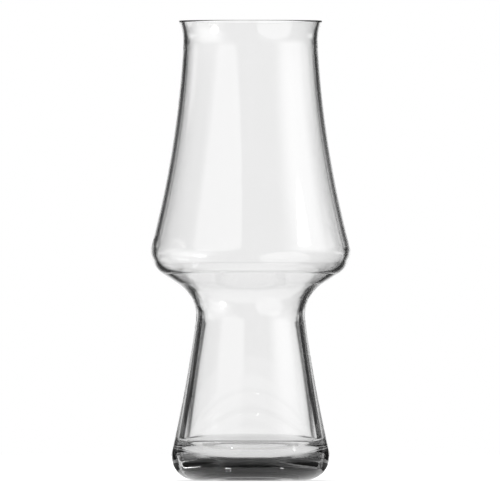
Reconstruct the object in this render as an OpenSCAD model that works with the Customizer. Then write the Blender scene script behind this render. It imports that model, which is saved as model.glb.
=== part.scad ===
// Beer glass with a flared lip, a bowl that swells down to a round shoulder,
// a narrow waist and a hollow conical foot on a thick base.
// Sizes are in millimetres. The glass stands on the table at z = 0, on its own axis, +Z.
// Its outer and inner outlines are chains of tangent arcs, turned about that axis.
// Each zone of the glass owns whole arcs, and neighbouring zones are fused on the ring
// between the points where the outer and the inner arcs hand over.

/* [Overall] */
// Height from the table to the top of the lip
glass_h = 200; // [170:0.5:230]

/* [Lip] */
// Height of the lip above the throat, the narrowest ring of the mouth
lip_h = 9.3; // [5:0.1:14]
// Outer diameter of the throat
throat_d = 58.7; // [50:0.1:66]
// Radius of the flare that turns the lip outwards
flare_r = 21.7; // [16:0.1:40]
// Wall of the lip and of the bowl
wall_t = 1.8; // [1.2:0.1:3]
// Radius of the two fire-polished corners of the drinking edge
edge_r = 0.4; // [0.1:0.05:0.6]

/* [Bowl] */
// Radius of the long hollow curve of the bowl's side
bowl_r = 432; // [250:1:900]

/* [Shoulder] */
// Height of the widest ring
shoulder_z = 99.5; // [80:0.5:120]
// Outer diameter of the widest ring
shoulder_d = 87; // [78:0.1:100]
// Radius of the rounded shoulder
shoulder_r = 11.6; // [7:0.1:16]
// Wall of the shoulder and of the flank under it
shoulder_t = 2.3; // [1.5:0.1:4]
// Slope of the flank, in degrees from upright
flank_angle = 57.4; // [45:0.1:64]

/* [Waist] */
// Outer diameter of the waist
waist_d = 47.5; // [36:0.1:56]
// Radius of the hollow curve of the waist
waist_r = 16.4; // [10:0.1:22]
// Wall at the waist
waist_t = 2.8; // [1.8:0.1:4.5]

/* [Foot] */
// Radius of the long hollow curve of the foot's side
foot_r = 648; // [300:1:1500]
// Outer diameter of the foot at the heel
heel_d = 68.8; // [60:0.1:80]
// Radius of the rounded heel
heel_r = 10.7; // [6:0.1:14]
// Glass between the heel and the widest ring of the cavity floor
heel_t = 6.1; // [4:0.1:9]

/* [Base] */
// Height of the cavity floor above the table, on the axis
floor_z = 9.1; // [6:0.1:14]
// Radius of the slightly dished cavity floor
dish_r = 300; // [150:10:1500]
// Radius of the rounding between the foot's inner wall and the dish
corner_r = 7; // [2:0.1:10]
// Diameter of the shallow recess under the base
recess_d = 36; // [20:0.5:44]
// Depth of that recess on the axis
recess_h = 1; // [0.3:0.1:2.5]

/* [Hidden] */
clear_glass = [0.91, 0.92, 0.92, 0.4];
arc_steps = 24;
same_point = 0.0001;
$fn = 128;

// Direction at an angle, angle of a direction, and a vector's direction alone
function toward(a) = [cos(a), sin(a)];
function angle(v) = atan2(v.y, v.x);
function unit(v) = v / norm(v);

// Arc about centre c with radius r, from the direction of point p to that of point q, the short way round
function short_way(a) = a > 180 ? a - 360 : a < -180 ? a + 360 : a;
function arc(c, r, p, q) =
    let (from = angle(p - c), sweep = short_way(angle(q - c) - from))
    [for (i = [0 : arc_steps]) c + r * toward(from + sweep * i / arc_steps)];

// Centre farthest from the axis that lies at distance da from point a and db from point b
function outer_centre(a, da, b, db) =
    let (l = norm(b - a), along = (da * da - db * db + l * l) / (2 * l))
    let (side = [abs(b.y - a.y), -sign(b.y - a.y) * (b.x - a.x)] / l)
    a + along * unit(b - a) + sqrt(da * da - along * along) * side;

// Direction from the centre of circle a to the line that touches it and, from the other side, circle b
function cross_normal(a, ra, b, rb) = toward(angle(b - a) - acos((ra + rb) / norm(b - a)));

// Point of the circle about c at height z, on the side that faces the axis
function near_side(c, r, z) = [c.x - sqrt(r * r - (z - c.y) * (z - c.y)), z];

// Centres of the arcs of the outer outline, from the lip down
throat_z = glass_h - lip_h;
flank_normal = toward(-flank_angle);
flank_down = [-sin(flank_angle), -cos(flank_angle)];
flare_c = [throat_d / 2 + flare_r, throat_z];
shoulder_c = [shoulder_d / 2 - shoulder_r, shoulder_z];
bowl_c = outer_centre(flare_c, bowl_r - flare_r, shoulder_c, bowl_r + shoulder_r);
flank_start_c = shoulder_c + (shoulder_r + waist_r) * flank_normal;
flank_l = (flank_start_c.x - waist_d / 2 - waist_r) / sin(flank_angle);
waist_c = flank_start_c + flank_l * flank_down;
heel_c = [heel_d / 2 - heel_r, heel_r];
foot_c = outer_centre(waist_c, foot_r - waist_r, heel_c, foot_r + heel_r);

// Points where those arcs meet
flare_to_bowl = bowl_c + bowl_r * unit(flare_c - bowl_c);
bowl_to_shoulder = shoulder_c + shoulder_r * unit(bowl_c - shoulder_c);
shoulder_to_flank = shoulder_c + shoulder_r * flank_normal;
flank_to_waist = waist_c - waist_r * flank_normal;
waist_to_foot = waist_c + waist_r * unit(waist_c - foot_c);
foot_to_heel = heel_c + heel_r * unit(foot_c - heel_c);
heel_to_ring = [heel_c.x, 0];

// Arcs of the inner outline, one wall further in
flare_in_r = flare_r + wall_t;
bowl_in_r = bowl_r + wall_t;
shoulder_in_r = shoulder_r - shoulder_t;
waist_in_r = waist_r + waist_t;
bowl_in_c = outer_centre(flare_c, bowl_in_r - flare_in_r, shoulder_c, bowl_in_r + shoulder_in_r);
waist_in_c = waist_c - [0, (waist_t - shoulder_t) / sin(flank_angle)];
dish_c = [0, floor_z + dish_r];
corner_x = heel_d / 2 - heel_t - corner_r;
corner_rise = sqrt((dish_r - corner_r) * (dish_r - corner_r) - corner_x * corner_x);
corner_c = [corner_x, dish_c.y - corner_rise];
cone_normal = cross_normal(corner_c, corner_r, waist_in_c, waist_in_r);

// Points where the inner arcs meet
flare_to_bowl_in = bowl_in_c + bowl_in_r * unit(flare_c - bowl_in_c);
bowl_to_shoulder_in = shoulder_c + shoulder_in_r * unit(bowl_in_c - shoulder_c);
shoulder_to_flank_in = shoulder_c + shoulder_in_r * flank_normal;
flank_to_waist_in = waist_in_c - waist_in_r * flank_normal;
waist_to_cone = waist_in_c - waist_in_r * cone_normal;
cone_to_corner = corner_c + corner_r * cone_normal;
corner_to_dish = dish_c + dish_r * unit(corner_c - dish_c);
dish_low = [0, floor_z];

// Round corners on the flat drinking edge
edge_out_c = near_side(flare_c, flare_r + edge_r, glass_h - edge_r);
edge_in_c = near_side(flare_c, flare_in_r - edge_r, glass_h - edge_r);
flare_to_edge = flare_c + flare_r * unit(edge_out_c - flare_c);
flare_to_edge_in = flare_c + flare_in_r * unit(edge_in_c - flare_c);
edge_top = [0, edge_r];

// Shallow spherical recess inside the standing ring
recess_r = (recess_d * recess_d / 4 + recess_h * recess_h) / (2 * recess_h);
recess_c = [0, recess_h - recess_r];
recess_top = [0, recess_h];
recess_edge = [recess_d / 2, 0];

// Turns stretches of an outline into a ring of glass, with each shared end point taken once
module turned(stretches) {
    points = [for (s = stretches) each s];
    last = len(points) - 1;
    rotate_extrude()
        polygon([for (i = [0 : last]) if (norm(points[i] - points[i == last ? 0 : i + 1]) > same_point) points[i]]);
}

// Flared lip with its drinking edge
module rim() {
    color(clear_glass) turned([
        arc(flare_c, flare_r, flare_to_bowl, flare_to_edge),
        arc(edge_out_c, edge_r, flare_to_edge, edge_out_c + edge_top),
        arc(edge_in_c, edge_r, edge_in_c + edge_top, flare_to_edge_in),
        arc(flare_c, flare_in_r, flare_to_edge_in, flare_to_bowl_in)]);
}

// Blown side wall from the lip down to the shoulder
module bowl() {
    color(clear_glass) turned([
        arc(bowl_c, bowl_r, bowl_to_shoulder, flare_to_bowl),
        arc(bowl_in_c, bowl_in_r, flare_to_bowl_in, bowl_to_shoulder_in)]);
}

// Rounded shoulder, straight flank and hollow waist
module shoulder() {
    color(clear_glass) turned([
        arc(waist_c, waist_r, waist_to_foot, flank_to_waist),
        arc(shoulder_c, shoulder_r, shoulder_to_flank, bowl_to_shoulder),
        arc(shoulder_c, shoulder_in_r, bowl_to_shoulder_in, shoulder_to_flank_in),
        arc(waist_in_c, waist_in_r, flank_to_waist_in, waist_to_cone)]);
}

// Hollow cone from the waist to the heel, curved outside and straight inside
module foot() {
    color(clear_glass) turned([
        arc(foot_c, foot_r, foot_to_heel, waist_to_foot),
        [waist_to_cone, cone_to_corner]]);
}

// Thick bottom with its rounded heel, dished floor and standing ring
module base() {
    color(clear_glass) turned([
        arc(recess_c, recess_r, recess_top, recess_edge),
        arc(heel_c, heel_r, heel_to_ring, foot_to_heel),
        arc(corner_c, corner_r, cone_to_corner, corner_to_dish),
        arc(dish_c, dish_r, corner_to_dish, dish_low)]);
}

rim();
bowl();
shoulder();
foot();
base();
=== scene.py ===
"""Clear beer glass with a flared lip, a shouldered bowl, a narrow waist and a hollow foot.

The glass is one closed surface of revolution. Its outer and inner outlines are chains of tangent
arcs, with the same sizes as the solids that it stands for, and it rides on the part's only body.
It is lit the way clear glass is photographed: a bright window behind it, darkness beside that
window to draw the edges, and soft boxes in front that leave pale bands on the wall.
"""

import logging
import math
from dataclasses import dataclass
from enum import Enum

import bpy
import numpy as np
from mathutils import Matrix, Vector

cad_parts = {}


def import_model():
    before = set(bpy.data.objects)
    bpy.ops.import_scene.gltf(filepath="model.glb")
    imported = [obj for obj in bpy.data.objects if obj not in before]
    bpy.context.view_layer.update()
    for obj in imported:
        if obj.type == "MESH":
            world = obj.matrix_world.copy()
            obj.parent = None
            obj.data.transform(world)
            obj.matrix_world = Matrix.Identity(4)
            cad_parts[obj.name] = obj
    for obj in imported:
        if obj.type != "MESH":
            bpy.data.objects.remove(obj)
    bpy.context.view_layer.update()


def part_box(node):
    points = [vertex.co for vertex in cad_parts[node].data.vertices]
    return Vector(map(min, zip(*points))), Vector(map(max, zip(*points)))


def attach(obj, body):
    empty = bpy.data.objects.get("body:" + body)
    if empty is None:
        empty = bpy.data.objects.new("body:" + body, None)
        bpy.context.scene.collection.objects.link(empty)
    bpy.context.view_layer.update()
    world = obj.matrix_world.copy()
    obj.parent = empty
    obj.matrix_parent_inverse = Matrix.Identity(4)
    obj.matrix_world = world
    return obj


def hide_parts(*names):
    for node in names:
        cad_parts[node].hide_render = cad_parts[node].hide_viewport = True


LOG = logging.getLogger("beer_glass")
MM = 0.001


def linear(hex_colour: str) -> tuple[float, float, float, float]:
    """Turns an sRGB hex colour into linear RGB with an alpha of 1.

    Args:
        hex_colour: Six hex digits, such as "F4F6F6".

    Returns:
        Linear red, green and blue, and alpha.
    """
    srgb = np.array([int(hex_colour[i : i + 2], 16) for i in (0, 2, 4)]) / 255.0
    lin = np.where(srgb <= 0.04045, srgb / 12.92, ((srgb + 0.055) / 1.055) ** 2.4)
    return (*(float(c) for c in lin), 1.0)


def add_node(
    tree: bpy.types.NodeTree,
    kind: str,
    settings: dict[str, object] | None = None,
    inputs: dict[str | int, object] | None = None,
) -> bpy.types.Node:
    """Adds one shader node with its settings, and with values or links at its inputs.

    Args:
        tree: The node tree that gets the node.
        kind: The node's type name, such as "ShaderNodeBump".
        settings: The node's own properties by name.
        inputs: A value or another node's output socket for each input, by its name or number.

    Returns:
        The new node.
    """
    node = tree.nodes.new(kind)
    for name, value in (settings or {}).items():
        setattr(node, name, value)
    for key, value in (inputs or {}).items():
        if isinstance(value, bpy.types.NodeSocket):
            tree.links.new(value, node.inputs[key])
        else:
            node.inputs[key].default_value = value
    return node


def unit(vector: np.ndarray) -> np.ndarray:
    """Gives a vector's direction alone."""
    return vector / np.hypot(*vector)


def toward(angle: float) -> np.ndarray:
    """Gives the unit vector at an angle in radians."""
    return np.array([math.cos(angle), math.sin(angle)])


class Side(Enum):
    """Which way the glass faces on an arc of its outline."""

    ROUND = 1.0
    HOLLOW = -1.0


@dataclass(frozen=True)
class Arc:
    """Circle that carries a stretch of the outline. Points are pairs of radius and height in metres."""

    centre: np.ndarray
    radius: float
    side: Side

    def facing(self, point: np.ndarray) -> np.ndarray:
        """Gives the circle's point in the direction of another point."""
        return self.centre + self.radius * unit(point - self.centre)

    def sweep(self, start: np.ndarray, end: np.ndarray, pitch: float) -> np.ndarray:
        """Works out the short way round from one direction to another, without the last point.

        A point is centre + radius * (cos a, sin a). Its normal is (cos a, sin a) on a round arc and
        the opposite on a hollow one.

        Args:
            start: Point in whose direction the stretch starts.
            end: Point in whose direction it ends.
            pitch: Longest step along the arc.

        Returns:
            Rows of radius, height and the normal's two parts.
        """
        first = math.atan2(*(start - self.centre)[::-1])
        last = math.atan2(*(end - self.centre)[::-1])
        turn = (last - first + math.pi) % (2 * math.pi) - math.pi
        longest = min(math.radians(3), pitch / self.radius)
        steps = max(math.ceil(abs(turn) / longest), 4)
        angles = first + turn * np.arange(steps) / steps
        spokes = np.column_stack([np.cos(angles), np.sin(angles)])
        return np.hstack([self.centre + self.radius * spokes, self.side.value * spokes])


def straight(start: np.ndarray, end: np.ndarray, normal: np.ndarray, pitch: float) -> np.ndarray:
    """Works out a straight stretch of the outline, without the last point.

    Args:
        start: First point.
        end: Point where the next stretch starts.
        normal: Normal of the glass along the stretch.
        pitch: Longest step along the line.

    Returns:
        Rows of radius, height and the normal's two parts.
    """
    steps = max(math.ceil(np.hypot(*(end - start)) / pitch), 1)
    share = np.arange(steps)[:, None] / steps
    return np.hstack([start + share * (end - start), np.tile(normal, (steps, 1))])


def long_curve(above: Arc, below: Arc, radius: float) -> Arc:
    """Finds the long curve that takes over from a tight arc of its own kind and runs into an opposite one.

    Its centre lies at radius - above.radius from the first centre and at radius + below.radius
    from the second, on the side away from the axis.

    Args:
        above: The tight arc above.
        below: The arc below, which bends the other way.
        radius: Radius of the long curve.

    Returns:
        The long curve's arc.
    """
    near, far = radius - above.radius, radius + below.radius
    span = below.centre - above.centre
    length = np.hypot(*span)
    along = (near**2 - far**2 + length**2) / (2 * length)
    square = np.array([-span[1], span[0]]) / length
    centre = above.centre + along * span / length + math.sqrt(near**2 - along**2) * square
    return Arc(centre, radius, above.side)


@dataclass(frozen=True)
class Lip:
    """Flared lip with a flat drinking edge whose two corners are fire-polished."""

    height: float = 9.3 * MM
    throat_d: float = 58.7 * MM
    flare_r: float = 21.7 * MM
    wall: float = 1.8 * MM
    edge_r: float = 0.4 * MM

    def flare(self, top: float) -> Arc:
        """Gives the flare's outer arc, for the height of the glass's top."""
        centre = np.array([self.throat_d / 2 + self.flare_r, top - self.height])
        return Arc(centre, self.flare_r, Side.HOLLOW)

    def edge(self, top: float, reach: float) -> Arc:
        """Gives a corner of the drinking edge, at a distance from the flare's centre."""
        level = top - self.edge_r
        middle = self.flare(top).centre
        across = math.sqrt(reach**2 - (level - middle[1]) ** 2)
        return Arc(np.array([middle[0] - across, level]), self.edge_r, Side.ROUND)


@dataclass(frozen=True)
class Bowl:
    """Blown side wall, a long hollow curve."""

    curve_r: float = 432 * MM


@dataclass(frozen=True)
class Shoulder:
    """Rounded shoulder and the straight flank under it."""

    level: float = 99.5 * MM
    diameter: float = 87 * MM
    round_r: float = 11.6 * MM
    wall: float = 2.3 * MM
    flank_angle: float = math.radians(57.4)

    @property
    def centre(self) -> np.ndarray:
        """Gives the centre of the rounding."""
        return np.array([self.diameter / 2 - self.round_r, self.level])

    @property
    def flank_normal(self) -> np.ndarray:
        """Gives the flank's outward normal."""
        return toward(-self.flank_angle)


@dataclass(frozen=True)
class Waist:
    """Narrow hollow curve between the flank and the foot."""

    diameter: float = 47.5 * MM
    curve_r: float = 16.4 * MM
    wall: float = 2.8 * MM

    def centre(self, shoulder: Shoulder) -> np.ndarray:
        """Finds the curve's centre, under a flank just long enough to reach the waist's diameter."""
        normal = shoulder.flank_normal
        start = shoulder.centre + (shoulder.round_r + self.curve_r) * normal
        length = (start[0] - self.diameter / 2 - self.curve_r) / -normal[1]
        return start + length * np.array([normal[1], -normal[0]])


@dataclass(frozen=True)
class Foot:
    """Hollow foot that widens to a rounded heel, with a wall that thickens downwards."""

    curve_r: float = 648 * MM
    heel_d: float = 68.8 * MM
    heel_r: float = 10.7 * MM
    heel_wall: float = 6.1 * MM

    @property
    def heel(self) -> Arc:
        """Gives the rounded heel's arc."""
        return Arc(np.array([self.heel_d / 2 - self.heel_r, self.heel_r]), self.heel_r, Side.ROUND)


@dataclass(frozen=True)
class Base:
    """Thick bottom: slightly dished cavity floor above, standing ring and shallow recess below."""

    floor_level: float = 9.1 * MM
    dish_r: float = 300 * MM
    corner_r: float = 7 * MM
    recess_d: float = 36 * MM
    recess_depth: float = 1 * MM

    @property
    def dish(self) -> Arc:
        """Gives the cavity floor's arc."""
        return Arc(np.array([0, self.floor_level + self.dish_r]), self.dish_r, Side.HOLLOW)

    def corner(self, widest: float) -> Arc:
        """Gives the arc between the floor and the wall, for the cavity's widest radius."""
        across = widest - self.corner_r
        rise = math.sqrt((self.dish_r - self.corner_r) ** 2 - across**2)
        return Arc(np.array([across, self.dish.centre[1] - rise]), self.corner_r, Side.HOLLOW)

    @property
    def recess(self) -> Arc:
        """Gives the arc of the recess under the base."""
        radius = (self.recess_d**2 / 4 + self.recess_depth**2) / (2 * self.recess_depth)
        return Arc(np.array([0, self.recess_depth - radius]), radius, Side.HOLLOW)


@dataclass(frozen=True)
class ClearGlass:
    """Colourless soda-lime glass, blown in a turning mould, with a pressed base and fire-polished edges.

    The eye gets sharp reflections, a wall that all but vanishes where it is seen square on, dark
    edges where it bends light away, and a trace of grey where light goes a long way in the glass.
    Broad faint ripples in the blown wall make reflections swim a little, small crinkles sparkle on the
    rings where the wall turns, and the standing ring is dull from wear.
    """

    tint: str = "FFFFFF"
    ior: float = 1.52
    body: str = "F3F3F3"
    body_density: float = 60.0
    ripple_width: float = 25 * MM
    ripple_height: float = 0.008 * MM
    ring_levels: tuple[float, ...] = (69 * MM, 79 * MM, 102 * MM, 189 * MM)
    ring_width: float = 5 * MM
    ring_top: float = 200 * MM
    crinkle_size: tuple[float, float] = (6 * MM, 2 * MM)
    crinkle_height: float = 0.05 * MM
    worn_height: float = 0.4 * MM
    worn_roughness: float = 0.3

    def material(self) -> bpy.types.Material:
        """Builds the glass material."""
        mat = bpy.data.materials.new("clear_soda_lime_glass")
        mat.use_nodes = True
        tree = mat.node_tree
        tree.nodes.clear()
        place = add_node(tree, "ShaderNodeTexCoord").outputs["Object"]
        level = add_node(tree, "ShaderNodeSeparateXYZ", inputs={0: place}).outputs["Z"]
        surface = {
            "Base Color": linear(self.tint),
            "IOR": self.ior,
            "Roughness": self.wear(tree, level),
            "Transmission Weight": 1.0,
            "Normal": self.relief(tree, place, level),
        }
        shader = add_node(tree, "ShaderNodeBsdfPrincipled", inputs=surface)
        filling = {"Color": linear(self.body), "Density": self.body_density}
        volume = add_node(tree, "ShaderNodeVolumeAbsorption", inputs=filling)
        ends = {"Surface": shader.outputs[0], "Volume": volume.outputs[0]}
        add_node(tree, "ShaderNodeOutputMaterial", inputs=ends)
        return mat

    def wear(self, tree: bpy.types.NodeTree, level: bpy.types.NodeSocket) -> bpy.types.NodeSocket:
        """Makes the roughness: dull on the table's level, polished from a little above it.

        Args:
            tree: The glass's node tree.
            level: Height above the table.

        Returns:
            The roughness socket.
        """
        ends = {0: level, 1: 0.0, 2: self.worn_height, 3: self.worn_roughness, 4: 0.0}
        return add_node(tree, "ShaderNodeMapRange", inputs=ends).outputs[0]

    def relief(
        self, tree: bpy.types.NodeTree, place: bpy.types.NodeSocket, level: bpy.types.NodeSocket
    ) -> bpy.types.NodeSocket:
        """Makes the normal: broad ripples all over, and crinkles near the rings where the wall turns.

        Args:
            tree: The glass's node tree.
            place: Position on the glass.
            level: Height above the table.

        Returns:
            The normal socket.
        """
        broad = {"Vector": place, "Scale": 1 / self.ripple_width, "Detail": 1.0}
        ripple = add_node(tree, "ShaderNodeTexNoise", inputs=broad)
        across, along = self.crinkle_size
        stretch = {"Vector": place, "Scale": (1 / across, 1 / across, 1 / along)}
        fine = add_node(tree, "ShaderNodeMapping", inputs=stretch)
        crinkle = add_node(tree, "ShaderNodeTexNoise", inputs={"Vector": fine.outputs[0], "Scale": 1.0})
        share = {0: level, 1: self.ring_top}
        height = add_node(tree, "ShaderNodeMath", {"operation": "DIVIDE"}, share)
        rings = add_node(tree, "ShaderNodeValToRGB", inputs={0: height.outputs[0]})
        stops = rings.color_ramp.elements
        stops[0].color = stops[1].color = linear("000000")
        for ring in self.ring_levels:
            for offset, colour in ((-1, "000000"), (0, "FFFFFF"), (1, "000000")):
                stops.new((ring + offset * self.ring_width) / self.ring_top).color = linear(colour)
        near = {0: crinkle.outputs[0], 1: rings.outputs[0]}
        marks = add_node(tree, "ShaderNodeMath", {"operation": "MULTIPLY"}, near)
        blend = {0: marks.outputs[0], 1: self.crinkle_height / self.ripple_height, 2: ripple.outputs[0]}
        total = add_node(tree, "ShaderNodeMath", {"operation": "MULTIPLY_ADD"}, blend)
        bend = {"Height": total.outputs[0], "Distance": self.ripple_height}
        return add_node(tree, "ShaderNodeBump", inputs=bend).outputs[0]


@dataclass
class BeerGlass:
    """The whole glass, fused from its zones into one closed surface."""

    top: float
    lip: Lip = Lip()
    bowl: Bowl = Bowl()
    shoulder: Shoulder = Shoulder()
    waist: Waist = Waist()
    foot: Foot = Foot()
    base: Base = Base()
    finish: ClearGlass = ClearGlass()
    around: int = 300
    pitch: float = 5 * MM

    def outer(self) -> list[np.ndarray]:
        """Chains the stretches of the outside, from the drinking edge down to the middle of the recess.

        Each arc touches its neighbours, so the outline changes arcs on the line through two centres.

        Returns:
            Stretches of the outline, each with rows of radius, height and normal.
        """
        lip, shoulder, base, pitch = self.lip, self.shoulder, self.base, self.pitch
        normal = shoulder.flank_normal
        flare = lip.flare(self.top)
        edge = lip.edge(self.top, flare.radius + lip.edge_r)
        turn = Arc(shoulder.centre, shoulder.round_r, Side.ROUND)
        side = long_curve(flare, turn, self.bowl.curve_r)
        waist = Arc(self.waist.centre(shoulder), self.waist.curve_r, Side.HOLLOW)
        heel = self.foot.heel
        foot = long_curve(waist, heel, self.foot.curve_r)
        crest = np.array([edge.centre[0], self.top])
        flank_top = turn.centre + turn.radius * normal
        flank_low = waist.centre - waist.radius * normal
        ring_out = np.array([heel.centre[0], 0])
        ring_in = np.array([base.recess_d / 2, 0])
        pole = np.array([0, base.recess_depth])
        return [
            edge.sweep(crest, flare.centre, pitch),
            flare.sweep(edge.centre, side.facing(flare.centre), pitch),
            side.sweep(flare.centre, turn.centre, pitch),
            turn.sweep(side.centre, flank_top, pitch),
            straight(flank_top, flank_low, normal, pitch),
            waist.sweep(flank_low, foot.facing(waist.centre), pitch),
            foot.sweep(waist.centre, heel.centre, pitch),
            heel.sweep(foot.centre, ring_out, pitch),
            straight(ring_out, ring_in, np.array([0, -1]), pitch),
            base.recess.sweep(ring_in, pole, pitch),
            np.array([[*pole, 0, -1]]),
        ]

    def inner(self) -> list[np.ndarray]:
        """Chains the stretches of the cavity, from the middle of its floor up to the drinking edge.

        The arcs share the outside's centres, one wall further in. The foot's wall is a straight cone
        that touches the floor's corner and the waist.

        Returns:
            Stretches of the outline, each with rows of radius, height and normal.
        """
        lip, shoulder, base, pitch = self.lip, self.shoulder, self.base, self.pitch
        normal = shoulder.flank_normal
        flare = Arc(lip.flare(self.top).centre, lip.flare_r + lip.wall, Side.ROUND)
        edge = lip.edge(self.top, flare.radius - lip.edge_r)
        turn = Arc(shoulder.centre, shoulder.round_r - shoulder.wall, Side.HOLLOW)
        side = long_curve(flare, turn, self.bowl.curve_r + lip.wall)
        drop = (self.waist.wall - shoulder.wall) / -normal[1]
        waist_c = self.waist.centre(shoulder) - np.array([0, drop])
        waist = Arc(waist_c, self.waist.curve_r + self.waist.wall, Side.ROUND)
        corner = base.corner(self.foot.heel_d / 2 - self.foot.heel_wall)
        across = waist.centre - corner.centre
        lean = math.acos((corner.radius + waist.radius) / np.hypot(*across))
        cone = toward(math.atan2(across[1], across[0]) - lean)
        pole = np.array([0, base.floor_level])
        cone_low = corner.centre + corner.radius * cone
        cone_top = waist.centre - waist.radius * cone
        flank_low = waist.centre - waist.radius * normal
        flank_top = turn.centre + turn.radius * normal
        crest = np.array([edge.centre[0], self.top])
        crest_out = np.array([lip.edge(self.top, lip.flare_r + lip.edge_r).centre[0], self.top])
        return [
            np.array([[*pole, 0, 1]]),
            base.dish.sweep(pole, corner.centre, pitch)[1:],
            corner.sweep(base.dish.facing(corner.centre), cone_low, pitch),
            straight(cone_low, cone_top, -cone, pitch),
            waist.sweep(cone_top, flank_low, pitch),
            straight(flank_low, flank_top, -normal, pitch),
            turn.sweep(flank_top, side.centre, pitch),
            side.sweep(turn.centre, flare.centre, pitch),
            flare.sweep(side.facing(flare.centre), edge.centre, pitch),
            edge.sweep(flare.facing(edge.centre), crest, pitch),
            straight(crest, crest_out, np.array([0, 1]), pitch),
        ]

    def build(self) -> bpy.types.Object:
        """Turns the outline about the axis: x = r cos t, y = r sin t, with one point at each pole.

        Returns:
            The glass as one closed mesh object at the origin.
        """
        rows = np.vstack(self.inner() + self.outer())
        rings, count = rows[1:-1], self.around
        angles = 2 * math.pi * np.arange(count) / count
        spokes = np.stack([np.cos(angles), np.sin(angles), np.ones(count)], axis=-1)
        tips = np.zeros((2, 3))
        tips[:, 2] = rows[[0, -1], 1]
        coords = np.vstack([(rings[:, None, [0, 0, 1]] * spokes).reshape(-1, 3), tips])
        tips[:, 2] = rows[[0, -1], 3]
        normals = np.vstack([(rings[:, None, [2, 2, 3]] * spokes).reshape(-1, 3), tips])
        here = np.arange(count)
        beside = (here + 1) % count
        ring = count * np.arange(len(rings) - 1)[:, None]
        quads = np.stack([ring + here, ring + count + here, ring + count + beside, ring + beside], axis=-1)
        last = count * (len(rings) - 1)
        floor_fan = np.column_stack([np.full(count, len(coords) - 2), here, beside])
        recess_fan = np.column_stack([np.full(count, len(coords) - 1), last + beside, last + here])
        faces = quads.reshape(-1, 4).tolist() + floor_fan.tolist() + recess_fan.tolist()
        mesh = bpy.data.meshes.new("beer_glass")
        mesh.from_pydata(coords, [], faces)
        mesh.shade_smooth()
        mesh.normals_split_custom_set_from_vertices(normals)
        mesh.update()
        glass = bpy.data.objects.new("beer_glass", mesh)
        bpy.context.scene.collection.objects.link(glass)
        return glass

    def dress(self, glass: bpy.types.Object) -> None:
        """Gives the glass its finish and its body, and hides the solids that it stands for."""
        glass.data.materials.append(self.finish.material())
        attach(glass, "root")
        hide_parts("rim", "bowl", "shoulder", "foot", "base")


def smooth_step(share: np.ndarray) -> np.ndarray:
    """Eases a share between 0 and 1, by 3 s^2 - 2 s^3, and keeps what lies outside at the ends."""
    kept = np.clip(share, 0, 1)
    return kept**2 * (3 - 2 * kept)


def add_glowing(
    name: str, coords: np.ndarray, faces: np.ndarray, glow: np.ndarray, finish: bpy.types.Material
) -> bpy.types.Object:
    """Adds a stage object whose points carry a glow. As added, only the glass sees it.

    Args:
        name: Name of the object.
        coords: Grid of points.
        faces: Grid of four-sided faces.
        glow: Radiance at each point.
        finish: Material that glows by the points' glow attribute.

    Returns:
        The new object.
    """
    mesh = bpy.data.meshes.new(name)
    mesh.from_pydata(coords.reshape(-1, 3), [], faces.reshape(-1, 4).tolist())
    marks = mesh.attributes.new("glow", "FLOAT", "POINT")
    marks.data.foreach_set("value", glow.ravel().astype(np.float32))
    mesh.materials.append(finish)
    piece = bpy.data.objects.new(name, mesh)
    bpy.context.scene.collection.objects.link(piece)
    piece.visible_camera = piece.visible_diffuse = piece.visible_shadow = False
    return piece


def ring_faces(around: int, bands: int) -> np.ndarray:
    """Numbers the four corners of the faces between rings of points, from the inner ring outwards.

    Args:
        around: Points on each ring.
        bands: Bands of faces between the rings.

    Returns:
        A grid of bands, faces and corners.
    """
    here = np.arange(around)
    beside = (here + 1) % around
    row = around * np.arange(bands)[:, None]
    return np.stack([row + here, row + around + here, row + around + beside, row + beside], axis=-1)


class Glow(Enum):
    """What a luminous card does with the light from behind it."""

    OPAQUE = "stops it"
    ADDED = "adds to it"

    def finish(self, name: str) -> bpy.types.Material:
        """Builds a material that glows by the points' glow attribute.

        Args:
            name: Name of the material.

        Returns:
            The material.
        """
        mat = bpy.data.materials.new(name)
        mat.use_nodes = True
        mat.cycles.emission_sampling = "NONE"
        tree = mat.node_tree
        tree.nodes.clear()
        mark = add_node(tree, "ShaderNodeAttribute", {"attribute_name": "glow"})
        light = add_node(tree, "ShaderNodeEmission", inputs={"Strength": mark.outputs["Fac"]})
        if self is Glow.ADDED:
            through = add_node(tree, "ShaderNodeBsdfTransparent")
            both = {0: light.outputs[0], 1: through.outputs[0]}
            light = add_node(tree, "ShaderNodeAddShader", inputs=both)
        add_node(tree, "ShaderNodeOutputMaterial", inputs={"Surface": light.outputs[0]})
        return mat


class CardShape(Enum):
    """Outline of a luminous card."""

    PANEL = "panel"
    DISC = "disc"


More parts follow.
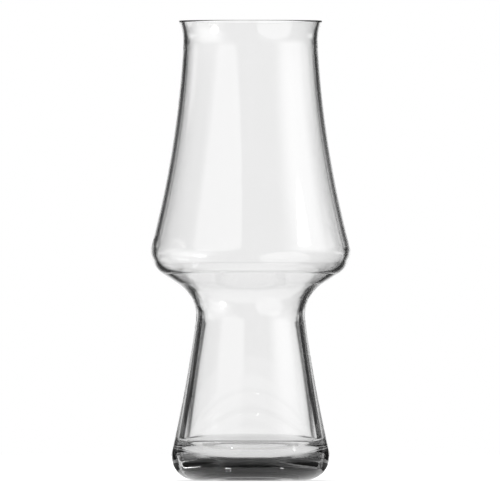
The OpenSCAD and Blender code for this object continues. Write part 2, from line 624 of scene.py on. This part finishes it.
@dataclass(frozen=True)
class Card:
    """Luminous card on a sphere round the glass, which only the glass sees.

    Angles are in degrees. Azimuth counts from straight behind the glass as the camera sees it,
    positive to the right. Sides are the azimuths of the card's sides at its lower edge, narrowing is
    how far each comes in towards the upper edge, and soft is the width over which the light fades at
    the sides and at the lower and upper edge.
    """

    name: str
    sides: tuple[float, float]
    elevation: tuple[float, float]
    radiance: float
    soft: tuple[float, float]
    shape: CardShape = CardShape.PANEL
    narrowing: float = 0.0
    cells: int = 48

    def build(self, middle: float, distance: float, finish: bpy.types.Material) -> None:
        """Bends a grid onto the sphere and gives each point its glow.

        The glow is the radiance times a smooth step of the distance from the card's edge.

        Args:
            middle: Height of the sphere's centre.
            distance: Radius of the sphere.
            finish: Material that glows by the points' glow attribute.
        """
        v, u = np.meshgrid(*[np.linspace(0, 1, self.cells + 1)] * 2, indexing="ij")
        left = self.sides[0] + self.narrowing * v
        width = self.sides[1] - self.narrowing * v - left
        height = self.elevation[1] - self.elevation[0]
        azimuth = np.radians(left + width * u)
        level = np.radians(self.elevation[0] + height * v)
        flat = np.cos(level)
        aim = np.stack([np.sin(azimuth) * flat, np.cos(azimuth) * flat, np.sin(level)], axis=-1)
        coords = distance * aim + np.array([0, 0, middle])
        from_side = np.minimum(u, 1 - u) * width
        from_end = np.minimum(v, 1 - v) * height
        if self.shape is CardShape.DISC:
            from_side = from_end = (1 - np.hypot(2 * u - 1, 2 * v - 1)) * height / 2
        steps = np.stack([from_side / self.soft[0], from_end / self.soft[1]])
        glow = self.radiance * np.prod(smooth_step(steps), axis=0)
        row = self.cells + 1
        start = row * np.arange(self.cells)[:, None] + np.arange(self.cells)
        faces = np.stack([start, start + 1, start + row + 1, start + row], axis=-1)
        add_glowing(self.name, coords, faces, glow, finish)


@dataclass(frozen=True)
class TableRing:
    """Ring on the table round or under the base, which only the glass sees.

    The thick base gathers the light that comes in just above the table. A dim band keeps the window
    out of it, so the base stays dark, and a lit table shows as a pale lens in the rounded bottom of the
    cavity. Each pair has the value at the ring's first and at its last edge.
    """

    name: str
    radius: tuple[float, float]
    height: tuple[float, float]
    radiance: tuple[float, float]
    around: int = 180
    rows: int = 16

    def build(self, finish: bpy.types.Material) -> None:
        """Builds the ring as an open cone or a disc, with a glow that changes smoothly from edge to edge.

        Args:
            finish: Material that glows by the points' glow attribute.
        """
        angle = 2 * math.pi * np.arange(self.around) / self.around
        share = np.linspace(0, 1, self.rows + 1)[:, None]
        reach = self.radius[0] + (self.radius[1] - self.radius[0]) * share
        level = self.height[0] + (self.height[1] - self.height[0]) * share
        ring = np.broadcast_arrays(reach * np.cos(angle), reach * np.sin(angle), level)
        eased = smooth_step(share) * np.ones(self.around)
        glow = self.radiance[0] + (self.radiance[1] - self.radiance[0]) * eased
        add_glowing(self.name, np.stack(ring, axis=-1), ring_faces(self.around, self.rows), glow, finish)


@dataclass(frozen=True)
class Floor:
    """Round pale floor, which glows to the camera so that only the shadow shows on it.

    Its glow rises smoothly with the distance from the glass, so far off it is as white as the
    surroundings. Fade has the distances where the rise starts and ends.
    """

    rings: tuple[float, ...] = (0.0, 0.03, 0.06, 0.09, 0.12, 0.16, 0.2, 0.3, 0.6, 1.2)
    glow: tuple[float, float] = (0.7, 1.0)
    fade: tuple[float, float] = (0.04, 0.12)
    colour: str = "B4B4B4"
    level: float = -0.1 * MM
    around: int = 96

    def build(self) -> None:
        """Builds the floor, which the camera and the lamp see but the glass doesn't."""
        rings = np.array(self.rings)
        angles = 2 * math.pi * np.arange(self.around) / self.around
        coords = np.empty((len(rings), self.around, 3))
        coords[..., 0] = rings[:, None] * np.cos(angles)
        coords[..., 1] = rings[:, None] * np.sin(angles)
        coords[..., 2] = self.level
        rise = smooth_step((rings - self.fade[0]) / (self.fade[1] - self.fade[0]))
        glow = np.repeat(self.glow[0] + (self.glow[1] - self.glow[0]) * rise, self.around)
        faces = ring_faces(self.around, len(rings) - 1)
        floor = add_glowing("floor", coords, faces, glow, self.finish())
        floor.visible_camera = floor.visible_diffuse = floor.visible_shadow = True
        floor.visible_glossy = floor.visible_transmission = False

    def finish(self) -> bpy.types.Material:
        """Builds the floor's material, matt paint and a glow that only the camera sees."""
        mat = bpy.data.materials.new("pale_floor")
        mat.use_nodes = True
        mat.cycles.emission_sampling = "NONE"
        tree = mat.node_tree
        tree.nodes.clear()
        path = add_node(tree, "ShaderNodeLightPath")
        mark = add_node(tree, "ShaderNodeAttribute", {"attribute_name": "glow"})
        share = {0: path.outputs["Is Camera Ray"], 1: mark.outputs["Fac"]}
        seen = add_node(tree, "ShaderNodeMath", {"operation": "MULTIPLY"}, share)
        light = add_node(tree, "ShaderNodeEmission", inputs={"Strength": seen.outputs[0]})
        matt = add_node(tree, "ShaderNodeBsdfDiffuse", inputs={"Color": linear(self.colour)})
        both = add_node(tree, "ShaderNodeAddShader", inputs={0: light.outputs[0], 1: matt.outputs[0]})
        add_node(tree, "ShaderNodeOutputMaterial", inputs={"Surface": both.outputs[0]})
        return mat


@dataclass(frozen=True)
class Lamp:
    """Soft round lamp over the glass, for the floor's light and the glass's shadow."""

    place: tuple[float, float, float] = (-0.15, 0.1, 1.5)
    size: float = 1.2
    energy: float = 14.0

    def build(self) -> None:
        """Hangs the lamp where the glass doesn't mirror it."""
        lamp = bpy.data.lights.new("overhead_lamp", "AREA")
        lamp.shape = "DISK"
        lamp.size = self.size
        lamp.energy = self.energy
        hung = bpy.data.objects.new("overhead_lamp", lamp)
        hung.location = self.place
        bpy.context.scene.collection.objects.link(hung)
        hung.visible_glossy = hung.visible_transmission = False


@dataclass(frozen=True)
class Studio:
    """Pale floor, white surroundings, overhead lamp, luminous cards and camera.

    Glints are small bright spots near the glass, in front of it, that its heel mirrors. Each has its
    distance from the axis.
    """

    middle: float = 100.2 * MM
    cards: tuple[Card, ...] = (
        Card("back_window", (-28, 28), (-11, 8), 0.97, (6, 5), narrowing=14),
        Card("back_window_top", (-9, 9), (3, 16), 0.97, (6, 5)),
        Card("table_strip", (-12, 12), (-62, -6), 0.8, (6, 5)),
        Card("left_window", (-140, -52), (-50, 12), 0.9, (30, 14)),
        Card("left_glow", (-66, -42), (-7, 0.5), 0.6, (4, 2.5)),
        Card("right_glow", (42, 66), (-7, 0.5), 0.8, (4, 2.5)),
        Card("left_edge_glow", (-46, -30), (4, 12), 0.3, (4, 3)),
        Card("right_edge_glow", (28, 46), (4, 12), 0.35, (4, 3)),
        Card("right_box", (56, 148), (-3, 34), 1.0, (38, 14)),
        Card("right_disc", (100, 169), (-58, 0), 0.8, (1.2, 1.2), CardShape.DISC),
        Card("left_octabox", (-169, -100), (0, 58), 0.35, (0.8, 0.8), CardShape.DISC),
        Card("right_lamp", (100, 118), (18, 36), 5.0, (0.8, 0.8), CardShape.DISC),
        Card("left_back_window", (-66, -32), (-44, -8), 0.95, (6, 6), CardShape.DISC),
        Card("table", (-180, 180), (-90, -38), 0.4, (0.1, 14)),
        Card("table_left", (-130, 10), (-90, -38), 0.3, (30, 14)),
    )
    card_distance: float = 3.0
    card_step: float = 0.01
    table: tuple[TableRing, ...] = (
        TableRing("base_band", (38 * MM, 38 * MM), (0, 6 * MM), (0.05, 0.2)),
        TableRing("lit_table", (0.5 * MM, 110 * MM), (-0.05 * MM, -0.05 * MM), (0.85, 0.8)),
    )
    glints: tuple[tuple[float, Card], ...] = (
        (36.3 * MM, Card("upper_glint", (-163.4, -156.8), (-8.2, -5.4), 26, (0.3, 0.3), CardShape.DISC)),
        (33.6 * MM, Card("lower_glint", (-164.2, -157.6), (-8.6, -7.0), 26, (0.2, 0.2), CardShape.DISC)),
        (36.3 * MM, Card("right_glint", (150, 153), (-8.2, -6.4), 20, (0.3, 0.3), CardShape.DISC)),
    )
    glint_level: float = 5.3 * MM
    floor: Floor = Floor()
    lamp: Lamp = Lamp()
    light_on_matt: float = 0.55
    light_on_glass: float = 0.04
    frame_width: float = 217.5 * MM
    sensor_width: float = 36.0
    camera_distance: float = 9.9
    camera_shift: float = -0.24 * MM
    camera_reach: float = 20.0
    bounces: int = 24

    def build(self) -> None:
        """Builds the floor, the surroundings, the lamp, the cards and the camera."""
        self.floor.build()
        self.lamp.build()
        self.build_world()
        clear = Glow.ADDED.finish("luminous_card")
        for place, card in enumerate(self.cards):
            card.build(self.middle, self.card_distance + self.card_step * place, clear)
        for distance, glint in self.glints:
            glint.build(self.glint_level, distance, clear)
        solid = Glow.OPAQUE.finish("table_ring")
        for ring in self.table:
            ring.build(solid)
        LOG.info("studio: %d cards, %d glints", len(self.cards), len(self.glints))
        self.build_camera()
        self.set_light_paths()

    def build_world(self) -> None:
        """Makes the surroundings white to the camera, pale to matt surfaces and nearly dark to the glass."""
        world = bpy.data.worlds.new("studio")
        world.use_nodes = True
        bpy.context.scene.world = world
        tree = world.node_tree
        tree.nodes.clear()
        path = add_node(tree, "ShaderNodeLightPath")
        pale = {0: path.outputs["Is Diffuse Ray"], 1: self.light_on_matt, 2: self.light_on_glass}
        matt = add_node(tree, "ShaderNodeMath", {"operation": "MULTIPLY_ADD"}, pale)
        brighter = {0: path.outputs["Is Camera Ray"], 1: matt.outputs[0]}
        white = add_node(tree, "ShaderNodeMath", {"operation": "MAXIMUM"}, brighter)
        glow = {"Color": linear("FFFFFF"), "Strength": white.outputs[0]}
        sky = add_node(tree, "ShaderNodeBackground", inputs=glow)
        add_node(tree, "ShaderNodeOutputWorld", inputs={"Surface": sky.outputs[0]})

    def build_camera(self) -> None:
        """Sets up the camera level with the middle of the glass, far off, with a long lens."""
        data = bpy.data.cameras.new("camera")
        data.sensor_width = self.sensor_width
        data.lens = self.sensor_width * self.camera_distance / self.frame_width
        data.clip_end = self.camera_reach
        camera = bpy.data.objects.new("camera", data)
        camera.location = (self.camera_shift, -self.camera_distance, self.middle)
        camera.rotation_euler = (math.pi / 2, 0, 0)
        bpy.context.scene.collection.objects.link(camera)
        bpy.context.scene.camera = camera

    def set_light_paths(self) -> None:
        """Lets light pass all the walls of the glass, and keeps the plain view transform."""
        scene = bpy.context.scene
        scene.view_settings.view_transform = "Standard"
        cycles = scene.cycles
        cycles.max_bounces = cycles.transmission_bounces = cycles.glossy_bounces = self.bounces
        cycles.caustics_reflective = cycles.caustics_refractive = False


def main() -> None:
    """Builds the glass and its studio."""
    logging.basicConfig(level=logging.INFO)
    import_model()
    glass = BeerGlass(top=float(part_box("rim")[1][2]))
    piece = glass.build()
    glass.dress(piece)
    LOG.info("%s: %d points, %d faces", piece.name, len(piece.data.vertices), len(piece.data.polygons))
    Studio().build()


if __name__ == "__main__":
    main()
